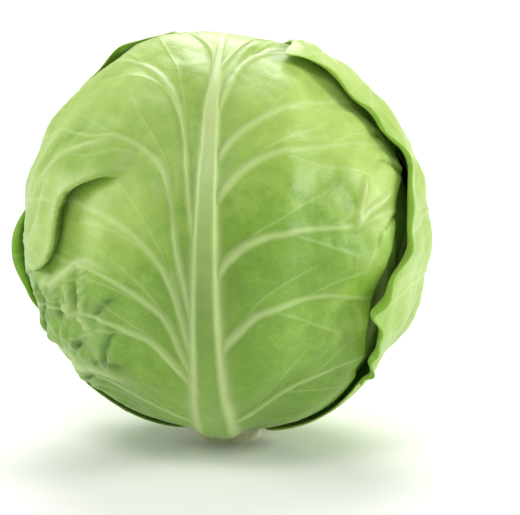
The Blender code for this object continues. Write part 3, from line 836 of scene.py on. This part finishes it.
def build_leaf(leaf, wide):
    name, rows, count = leaf[0], leaf[4], leaf[5]
    grid = leaf_grid(leaf, wide, rows, mesh_columns(name, count))
    columns = 2 * count + 1
    start_clean()
    bpy.ops.mesh.primitive_grid_add(x_subdivisions=columns - 1, y_subdivisions=rows - 1, size=1.0)
    body = bpy.context.object
    body.name = body.data.name = name + "_blade"
    mesh = body.data
    where = np.empty(3 * len(mesh.vertices))
    mesh.vertices.foreach_get("co", where)
    where = where.reshape(-1, 3)
    order = np.lexsort((np.round(where[:, 0], 6), np.round(where[:, 1], 6)))
    places = (grid["direction"] * grid["radius"][..., None]).reshape(-1, 3)
    places[:, 2] += HEAD_CENTRE
    where[order] = places * MM
    mesh.vertices.foreach_set("co", where.reshape(-1))
    keep_measures(mesh, order, grid, name)
    thick = grid["thick"].reshape(-1)
    most = float(thick.max())
    group = body.vertex_groups.new(name="thickness")
    for point, depth in zip(order.tolist(), (thick / most).tolist()):
        group.add([point], depth, "REPLACE")
    picked = np.zeros(len(mesh.vertices), dtype=bool)
    picked[order[-columns:]] = True
    bpy.ops.object.mode_set(mode="EDIT")
    bpy.ops.mesh.select_mode(type="VERT")
    bpy.ops.mesh.select_all(action="DESELECT")
    bpy.ops.object.mode_set(mode="OBJECT")
    mesh.vertices.foreach_set("select", picked)
    bpy.ops.object.mode_set(mode="EDIT")
    bpy.ops.mesh.remove_doubles(threshold=0.02 * MM)
    bpy.ops.object.mode_set(mode="OBJECT")
    return body, most


def thicken(body, most):
    """Gives the sheet its wall outwards; the new outer face gets the second material."""
    wall = body.modifiers.new("wall", "SOLIDIFY")
    wall.thickness = most * MM
    wall.offset = 1.0
    wall.vertex_group = "thickness"
    wall.material_offset = 1
    wall.material_offset_rim = 1
    bpy.context.view_layer.objects.active = body
    bpy.ops.object.modifier_apply(modifier="wall")
    bpy.ops.object.shade_smooth()
    return body


print("a leaf starts as a grid of up to", max(leaf[4] * (2 * leaf[5] + 1) for leaf in LEAVES), "points")

# %% [markdown]
# Colours are written as the hex values that a picture editor shows and are turned to
# linear light by one function. One more function adds a node with its settings and
# links. Nothing else is needed to write all the materials.

# %% Colour and node helpers
def colour(code):
    """An sRGB hex colour as linear red, green, blue and alpha."""
    parts = [int(code[i:i + 2], 16) / 255.0 for i in (1, 3, 5)]
    linear = [c / 12.92 if c <= 0.04045 else ((c + 0.055) / 1.055) ** 2.4 for c in parts]
    return (*linear, 1.0)


def add_node(tree, kind, inputs, output=0, **settings):
    """Adds a shader node, sets its options, links or fills its inputs, and gives one output."""
    node = tree.nodes.new("ShaderNode" + kind)
    for option, choice in settings.items():
        setattr(node, option, choice)
    for socket, source in inputs.items():
        if isinstance(source, bpy.types.NodeSocket):
            tree.links.new(source, node.inputs[socket])
        else:
            node.inputs[socket].default_value = source
    return node.outputs[output]


print("leaf green in linear light:", [round(c, 3) for c in colour("#93B458")])

# %% [markdown]
# The leaf material. A cabbage leaf is a living blade: green cells under a colourless
# skin with a bloom of wax on its outer face, so it looks soft, slightly milky and only a
# little glossy. Its veins have no green and show pale. The skin was grown, not made, so
# nothing in it repeats: the net of finest veins is drawn with a Voronoi pattern on the
# flat leaf, with cells of about 5 mm and of about 2 mm, and the bigger veins come from
# the same row numbers as the ridges in the mesh. The inner face has less wax and is a
# brighter green, so it is a second version of the same material.

# %% Leaf material
MIX_FACTOR, MIX_A, MIX_B, MIX_COLOUR = 0, 6, 7, 2
NET_CELL = 5.2
FINE_CELL = 1.9


def leaf_material(title, dark, middle, light, wax_colour, vein_colour, margin_colour, wax_strength,
                  rough):
    """One side of a leaf: three greens, wax, veins and margin over a soft, waxy skin."""
    material = bpy.data.materials.new(title)
    material.use_nodes = True
    tree = material.node_tree
    skin = tree.nodes["Principled BSDF"]
    flat = add_node(tree, "Attribute", {}, "Vector", attribute_name="leaf_flat")
    parts = {}
    for measure, names in (("leaf_flat", "across upward leaf"), ("leaf_rows", "out row spacing"),
                           ("leaf_tints", "tone wax margin"), ("leaf_ribs", "rib last crease")):
        read = add_node(tree, "Attribute", {}, "Vector", attribute_name=measure)
        split = add_node(tree, "SeparateXYZ", {0: read}).node
        parts.update(zip(names.split(), split.outputs))
    out, row, spacing, rib = parts["out"], parts["row"], parts["spacing"], parts["rib"]

    # Side veins lie on whole row numbers, wide at the midrib and fine at the edge.
    share = add_node(tree, "Math", {0: row}, operation="FRACT")
    other = add_node(tree, "Math", {0: 1.0, 1: share}, operation="SUBTRACT")
    nearest = add_node(tree, "Math", {0: share, 1: other}, operation="MINIMUM")
    away = add_node(tree, "Math", {0: nearest, 1: spacing}, operation="MULTIPLY")
    width = add_node(tree, "Math", {0: out, 1: -1.6, 2: 2.6}, operation="MULTIPLY_ADD")
    away = add_node(tree, "Math", {0: away, 1: width}, operation="DIVIDE")
    line = add_node(tree, "MapRange", {0: away, 1: 0.0, 2: 1.4, 3: 1.0, 4: 0.0},
                    interpolation_type="SMOOTHSTEP")
    after = add_node(tree, "MapRange", {0: row, 1: 0.4, 2: 0.6, 3: 0.0, 4: 1.0})
    left_over = add_node(tree, "Math", {0: parts["last"], 1: row}, operation="SUBTRACT")
    before = add_node(tree, "MapRange", {0: left_over, 1: 0.4, 2: 0.6, 3: 0.0, 4: 1.0})
    weaker = add_node(tree, "MapRange", {0: out, 1: 0.1, 2: 0.95, 3: 0.6, 4: 0.25})
    beside_rib = add_node(tree, "Math", {0: 1.0, 1: rib}, operation="SUBTRACT")
    for factor in (after, before, weaker, beside_rib):
        line = add_node(tree, "Math", {0: line, 1: factor}, operation="MULTIPLY")

    # Branches leave a vein on a slant and end where they meet those of the next vein.
    branches = 0.0
    for start, slope in BRANCHES:
        on = add_node(tree, "Math", {0: out, 1: start}, operation="SUBTRACT")
        wanted = add_node(tree, "Math", {0: on, 1: abs(slope)}, operation="MULTIPLY")
        off = add_node(tree, "Math", {0: share if slope > 0.0 else other, 1: wanted}, operation="SUBTRACT")
        gap = add_node(tree, "Math", {0: off, 1: spacing}, operation="MULTIPLY")
        gap = add_node(tree, "Math", {0: gap}, operation="ABSOLUTE")
        branch = add_node(tree, "MapRange", {0: gap, 1: 0.0, 2: 1.3, 3: 0.2, 4: 0.0},
                          interpolation_type="SMOOTHSTEP")
        begins = add_node(tree, "MapRange", {0: on, 1: 0.0, 2: 0.08, 3: 0.0, 4: 1.0})
        ends = add_node(tree, "MapRange", {0: wanted, 1: 0.35, 2: 0.55, 3: 1.0, 4: 0.0})
        for factor in (begins, ends):
            branch = add_node(tree, "Math", {0: branch, 1: factor}, operation="MULTIPLY")
        branches = add_node(tree, "Math", {0: branches, 1: branch}, operation="MAXIMUM")

    # The net of finest veins, wavered so that its cells aren't straight sided.
    waver = add_node(tree, "TexNoise", {"Vector": flat, "Scale": 0.16, "Detail": 2.0}, "Color")
    bent = add_node(tree, "VectorMath", {0: waver, 1: (5.0, 5.0, 0.0), 2: flat}, operation="MULTIPLY_ADD")
    net = 0.0
    for cell, line_width, strength in ((NET_CELL, 0.09, 0.07), (FINE_CELL, 0.12, 0.04)):
        edge = add_node(tree, "TexVoronoi", {"Vector": bent, "Scale": 1.0 / cell}, "Distance",
                        feature="DISTANCE_TO_EDGE")
        vein = add_node(tree, "MapRange", {0: edge, 1: 0.0, 2: line_width, 3: strength, 4: 0.0})
        net = add_node(tree, "Math", {0: net, 1: vein}, operation="MAXIMUM")

    # Green of the blade from dark to pale, with soft mottling a few millimetres wide.
    mottle = add_node(tree, "TexNoise", {"Vector": flat, "Scale": 0.11, "Detail": 5.0, "Roughness": 0.62},
                      "Fac")
    around = add_node(tree, "Math", {0: mottle, 1: 0.5}, operation="SUBTRACT")
    depth = add_node(tree, "Math", {0: around, 1: 0.6, 2: parts["tone"]}, operation="MULTIPLY_ADD")
    # Painted shade: the grooves of the creases and of the long fold are darkened.
    painted_shade_in_grooves = add_node(tree, "Math", {0: parts["crease"], 1: 0.0}, operation="MINIMUM")
    depth = add_node(tree, "Math", {0: painted_shade_in_grooves, 1: 0.4, 2: depth}, operation="MULTIPLY_ADD")
    lower = add_node(tree, "MapRange", {0: depth, 1: 0.0, 2: 0.5, 3: 0.0, 4: 1.0})
    upper = add_node(tree, "MapRange", {0: depth, 1: 0.42, 2: 1.0, 3: 0.0, 4: 1.0})
    green = add_node(tree, "Mix", {MIX_FACTOR: lower, MIX_A: colour(dark), MIX_B: colour(middle)},
                     MIX_COLOUR, data_type="RGBA")
    green = add_node(tree, "Mix", {MIX_FACTOR: upper, MIX_A: green, MIX_B: colour(light)},
                     MIX_COLOUR, data_type="RGBA")

    # Wax bloom, rubbed off in smears a few centimetres wide, and the fresher margin.
    smear = add_node(tree, "TexNoise", {"Vector": flat, "Scale": 0.05, "Detail": 4.0, "Roughness": 0.7},
                     "Fac")
    kept = add_node(tree, "MapRange", {0: smear, 1: 0.3, 2: 0.7, 3: 0.35 * wax_strength, 4: wax_strength})
    bloom = add_node(tree, "Math", {0: parts["wax"], 1: kept}, operation="MULTIPLY")
    green = add_node(tree, "Mix", {MIX_FACTOR: bloom, MIX_A: green, MIX_B: colour(wax_colour)},
                     MIX_COLOUR, data_type="RGBA")
    margin = add_node(tree, "Math", {0: parts["margin"], 1: 0.55}, operation="MULTIPLY")
    green = add_node(tree, "Mix", {MIX_FACTOR: margin, MIX_A: green, MIX_B: colour(margin_colour)},
                     MIX_COLOUR, data_type="RGBA")

    # Midrib: two pale border lines, and a middle that turns paler towards the tip.
    border = add_node(tree, "Math", {0: rib, 1: beside_rib}, operation="MULTIPLY")
    border = add_node(tree, "Math", {0: border, 1: 2.7}, operation="MULTIPLY")
    paler = add_node(tree, "MapRange", {0: parts["upward"], 1: -20.0, 2: 70.0, 3: 0.12, 4: 0.8})
    band = add_node(tree, "Math", {0: rib, 1: paler}, operation="MULTIPLY")
    # Painted highlight: crease ridges and the fold's crest are made paler.
    ridge = add_node(tree, "Math", {0: parts["crease"], 1: 0.6}, operation="MULTIPLY")
    pale = net
    for vein in (branches, line, border, band, ridge):
        pale = add_node(tree, "Math", {0: pale, 1: vein}, operation="MAXIMUM")
    final = add_node(tree, "Mix", {MIX_FACTOR: pale, MIX_A: green, MIX_B: colour(vein_colour)},
                     MIX_COLOUR, data_type="RGBA")
    tree.links.new(final, skin.inputs["Base Color"])

    # Waxy skin: rougher where the bloom is thick, with the net pressed in very low.
    gloss = add_node(tree, "Math", {0: bloom, 1: 0.18, 2: rough}, operation="MULTIPLY_ADD")
    gloss = add_node(tree, "Math", {0: mottle, 1: 0.12, 2: gloss}, operation="MULTIPLY_ADD")
    tree.links.new(gloss, skin.inputs["Roughness"])
    grain = add_node(tree, "TexNoise", {"Vector": flat, "Scale": 1.4, "Detail": 3.0}, "Fac")
    relief = add_node(tree, "Math", {0: net, 1: 9.0, 2: grain}, operation="MULTIPLY_ADD")
    relief = add_node(tree, "Math", {0: branches, 1: 5.0, 2: relief}, operation="MULTIPLY_ADD")
    bump = add_node(tree, "Bump", {"Height": relief, "Strength": 0.45, "Distance": 0.00015}, "Normal")
    tree.links.new(bump, skin.inputs["Normal"])
    skin.inputs["IOR"].default_value = 1.42
    skin.inputs["Sheen Weight"].default_value = 0.12
    skin.inputs["Sheen Roughness"].default_value = 0.35
    skin.inputs["Sheen Tint"].default_value = colour("#E4F0C8")
    skin.inputs["Subsurface Weight"].default_value = 0.2
    skin.inputs["Subsurface Radius"].default_value = (0.9, 1.0, 0.35)
    skin.inputs["Subsurface Scale"].default_value = 0.002
    return material


# Grown leaf skin: the outer face has a thick bloom of wax, the inner face almost none.
outer_face = leaf_material("cabbage leaf, waxy outer face", "#668628", "#9DB850", "#DAE5B6", "#BECCA4",
                           "#E4EBCC", "#A8C46A", 0.7, 0.36)
inner_face = leaf_material("cabbage leaf, fresh inner face", "#567F1E", "#7FA836", "#B4CF68", "#A8C878",
                           "#CADB98", "#8AB83E", 0.15, 0.34)
print("leaf materials:", outer_face.name, "/", inner_face.name)

# %% [markdown]
# Now the six leaves are built in order, from the inside out, each on what lies under it.
# Each one stands for its node of the frame and rides on the body of the head.

# %% Six wrapper leaves
covered = heart_radius(SAMPLES)
for leaf in LEAVES:
    wide = widened(covered)
    blade, most = build_leaf(leaf, wide)
    thicken(blade, most)
    blade.data.materials.append(inner_face)
    blade.data.materials.append(outer_face)
    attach(blade, "root")
    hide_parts(leaf[0])
    covered = cover(leaf, wide, covered)
    print(blade.name, "faces:", len(blade.data.polygons))

# %% [markdown]
# The heart shows only as a hint between the leaves and underneath. It is the same packed
# leaf tissue, grown in the dark: pale yellow green with soft veins that run down from
# the top. Its shape in the frame is right, so only its material is written here.

# %% Heart material
def heart_material():
    material = bpy.data.materials.new("packed inner cabbage leaves")
    material.use_nodes = True
    tree = material.node_tree
    skin = tree.nodes["Principled BSDF"]
    place = add_node(tree, "TexCoord", {}, "Object")
    soft = add_node(tree, "TexNoise", {"Vector": place, "Scale": 28.0, "Detail": 4.0}, "Fac")
    edge = add_node(tree, "TexVoronoi", {"Vector": place, "Scale": 160.0}, "Distance",
                    feature="DISTANCE_TO_EDGE")
    veins = add_node(tree, "MapRange", {0: edge, 1: 0.0, 2: 0.1, 3: 0.3, 4: 0.0})
    base = add_node(tree, "Mix", {MIX_FACTOR: soft, MIX_A: colour("#B4CC74"), MIX_B: colour("#DCE8AC")},
                    MIX_COLOUR, data_type="RGBA")
    final = add_node(tree, "Mix", {MIX_FACTOR: veins, MIX_A: base, MIX_B: colour("#EEF3D2")},
                     MIX_COLOUR, data_type="RGBA")
    tree.links.new(final, skin.inputs["Base Color"])
    rough = add_node(tree, "MapRange", {0: soft, 1: 0.3, 2: 0.7, 3: 0.36, 4: 0.52})
    tree.links.new(rough, skin.inputs["Roughness"])
    bump = add_node(tree, "Bump", {"Height": veins, "Strength": 0.4, "Distance": 0.0003}, "Normal")
    tree.links.new(bump, skin.inputs["Normal"])
    return material


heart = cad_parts["heart"]
heart.data.materials.clear()
heart.data.materials.append(heart_material())
print("heart material:", heart.data.materials[0].name)

# %% [markdown]
# The stalk is the stump that was left when the head was cut from its root. It is a short
# woody stem: a pale ring of tough fibres round a softer, slightly sunken pith. It starts
# as a cylinder. Its cut face is inset into skin, fibres and pith, and the pith is pushed
# in a little.

# %% Stalk
# Rings of the cut face from the skin inwards: width, and depth below zero where it sinks.
CUT_FACE_RINGS = ((1.0, 0.0), (3.2, 0.0), (1.4, -0.5), (1.9, 0.0), (1.9, 0.0), (1.9, 0.0), (1.9, 0.0))


def build_stalk():
    low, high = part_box("stalk")
    start_clean()
    height = high[2] - low[2]
    bpy.ops.mesh.primitive_cylinder_add(vertices=72, radius=(STALK_RADIUS - 0.15) * MM, depth=height,
                                        location=(0.0, 0.0, 0.5 * (low[2] + high[2])))
    body = bpy.context.object
    body.name = body.data.name = "stalk_stump"
    bpy.ops.object.transform_apply(location=True, rotation=False, scale=False)
    mesh = body.data
    bpy.ops.object.mode_set(mode="EDIT")
    bpy.ops.mesh.select_mode(type="FACE")
    bpy.ops.mesh.select_all(action="DESELECT")
    bpy.ops.object.mode_set(mode="OBJECT")
    for face in mesh.polygons:
        face.select = face.normal.z < -0.9
    bpy.ops.object.mode_set(mode="EDIT")
    for width, depth in CUT_FACE_RINGS:
        bpy.ops.mesh.inset(thickness=width * MM, depth=depth * MM)
    bpy.ops.object.mode_set(mode="OBJECT")
    return body


stump = build_stalk()
print("stump points:", len(stump.data.vertices))

# %% [markdown]
# Stalk material: cut plant fibre. The cut face dries to a pale straw colour with fine
# strands seen end on, and the skin of the stump is a pale green with lengthwise grain.

# %% Stalk material
def stalk_material():
    material = bpy.data.materials.new("cut cabbage stalk")
    material.use_nodes = True
    tree = material.node_tree
    skin = tree.nodes["Principled BSDF"]
    place = add_node(tree, "TexCoord", {}, "Object")
    length = add_node(tree, "Mapping", {"Vector": place, "Scale": (1.0, 1.0, 0.12)})
    grain = add_node(tree, "TexNoise", {"Vector": length, "Scale": 520.0, "Detail": 4.0}, "Fac")
    cells = add_node(tree, "TexVoronoi", {"Vector": length, "Scale": 900.0}, "Distance")
    patch = add_node(tree, "TexNoise", {"Vector": place, "Scale": 90.0, "Detail": 3.0}, "Fac")
    base = add_node(tree, "Mix", {MIX_FACTOR: patch, MIX_A: colour("#C9CF9A"), MIX_B: colour("#E9E6C4")},
                    MIX_COLOUR, data_type="RGBA")
    strand = add_node(tree, "MapRange", {0: grain, 1: 0.35, 2: 0.65, 3: 0.0, 4: 0.35})
    final = add_node(tree, "Mix", {MIX_FACTOR: strand, MIX_A: base, MIX_B: colour("#A9AE72")},
                     MIX_COLOUR, data_type="RGBA")
    tree.links.new(final, skin.inputs["Base Color"])
    rough = add_node(tree, "MapRange", {0: grain, 1: 0.3, 2: 0.7, 3: 0.6, 4: 0.78})
    tree.links.new(rough, skin.inputs["Roughness"])
    height = add_node(tree, "Math", {0: grain, 1: cells}, operation="ADD")
    bump = add_node(tree, "Bump", {"Height": height, "Strength": 0.6, "Distance": 0.0003}, "Normal")
    tree.links.new(bump, skin.inputs["Normal"])
    return material


stump.data.materials.clear()
stump.data.materials.append(stalk_material())
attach(stump, "root")
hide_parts("stalk")
print("stalk material:", stump.data.materials[0].name)

# %% [markdown]
# The head stands on a plain white table top that runs out of the picture on all sides.

# %% Table top
def build_table():
    start_clean()
    bpy.ops.mesh.primitive_plane_add(size=16.0, location=(0.0, 0.0, 0.0))
    body = bpy.context.object
    body.name = body.data.name = "table_top"
    material = bpy.data.materials.new("matt white laminate")
    material.use_nodes = True
    skin = material.node_tree.nodes["Principled BSDF"]
    skin.inputs["Base Color"].default_value = colour("#F7F7F5")
    skin.inputs["Roughness"].default_value = 0.75
    body.data.materials.append(material)
    return body


table_top = build_table()
print("table top:", table_top.name)

# %% [markdown]
# Light and camera. A white room gives even light from all sides. Soft round lights stand
# high at the front, overhead a little behind, and at both sides, so the sides of the head
# are brighter than its middle, and one more lights the table far behind. The camera looks
# at the head from twelve degrees above the table with a long lens, so there is almost no
# perspective, and the head fills most of the picture.

# %% Light and camera
CAMERA_RISE = 12.0
CAMERA_DISTANCE = 1.1
LENS = 169.0
AIM_RIGHT = 14.85
AIM_DOWN = 8.3
ROOM_LIGHT = 0.4
MIDDLE_OF_HEAD = (0.0, 0.0, HEAD_CENTRE * MM)
# Name, place, what the light points at, its size and its power in watts.
LIGHTS = (
    ("front, high", (-0.35, -0.9, 1.3), MIDDLE_OF_HEAD, 0.6, 6.5),
    ("overhead, behind", (0.1, 0.6, 1.3), MIDDLE_OF_HEAD, 1.0, 3.4),
    ("left side", (-1.35, 0.2, 0.6), MIDDLE_OF_HEAD, 0.6, 8.5),
    ("right side", (1.35, -0.15, 0.6), MIDDLE_OF_HEAD, 0.6, 12.5),
    ("backdrop", (0.0, 3.6, 2.6), (0.0, 3.6, 0.0), 3.0, 190.0),
)


def soft_light(name, place, target, size, power):
    light = bpy.data.lights.new(name, "AREA")
    light.shape = "DISK"
    light.size = size
    light.energy = power
    lamp = bpy.data.objects.new(name, light)
    bpy.context.scene.collection.objects.link(lamp)
    lamp.location = place
    aim = np.array(target) - np.array(place)
    lamp.rotation_euler = (math.atan2(math.hypot(aim[0], aim[1]), -aim[2]), 0.0,
                           math.atan2(aim[1], aim[0]) - math.pi / 2.0)
    return lamp


world = bpy.data.worlds.new("white room")
world.use_nodes = True
world.node_tree.nodes["Background"].inputs["Color"].default_value = (1.0, 1.0, 1.0, 1.0)
world.node_tree.nodes["Background"].inputs["Strength"].default_value = ROOM_LIGHT
bpy.context.scene.world = world
for name, place, aim_at, size, power in LIGHTS:
    soft_light(name, place, aim_at, size, power)
bpy.context.scene.view_settings.view_transform = "Standard"

rise = math.radians(CAMERA_RISE)
up_in_picture = np.array([0.0, math.sin(rise), math.cos(rise)])
target = (np.array(MIDDLE_OF_HEAD) + np.array([1.0, 0.0, 0.0]) * AIM_RIGHT * MM
          - up_in_picture * AIM_DOWN * MM)
camera_data = bpy.data.cameras.new("camera")
camera_data.lens = LENS
camera_data.sensor_width = 36.0
camera = bpy.data.objects.new("camera", camera_data)
bpy.context.scene.collection.objects.link(camera)
camera.location = target + CAMERA_DISTANCE * np.array([0.0, -math.cos(rise), math.sin(rise)])
camera.rotation_euler = (math.radians(90.0 - CAMERA_RISE), 0.0, 0.0)
bpy.context.scene.camera = camera
print("camera stands", CAMERA_DISTANCE, "m away and looks down", CAMERA_RISE, "degrees")
